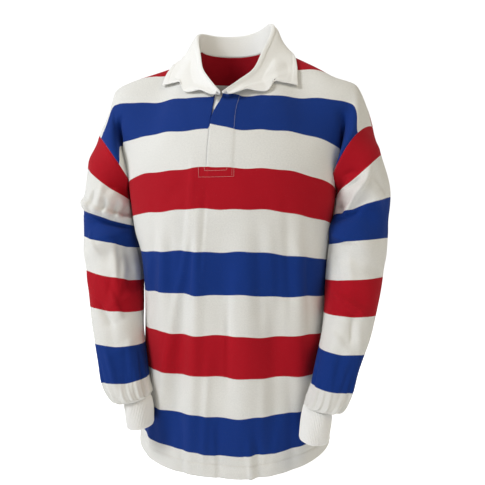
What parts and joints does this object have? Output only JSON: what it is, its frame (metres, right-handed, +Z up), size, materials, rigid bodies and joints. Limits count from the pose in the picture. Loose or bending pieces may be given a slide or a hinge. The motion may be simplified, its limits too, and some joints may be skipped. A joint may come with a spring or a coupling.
{
  "type": "rugby shirt",
  "caption": "Long-sleeved hooped rugby shirt with a white turned-down collar, neck slit and white cuffs, filled out and hollow.",
  "frame": {"origin": "middle of the neck opening, about 20 mm under the neck ends of the shoulder seams", "axes": "+Z up towards the collar, the front faces -Y, +X is the wearer's left"},
  "size_m": [0.6003, 0.2782, 0.8366],
  "materials": {
    "hooped_jersey": "heavy cotton jersey in blue, red and white hoops, matt",
    "white_drill": "white cotton drill, matt",
    "white_cuff": "white cotton cuff knit, matt"
  },
  "bodies": {
    "root": {"front": "hooped_jersey", "back": "hooped_jersey", "sleeve_right": "hooped_jersey", "sleeve_left": "hooped_jersey", "cuff_right": "white_cuff", "cuff_left": "white_cuff", "collar": "white_drill", "underlap": "white_drill"}
  },
  "joints": []
}
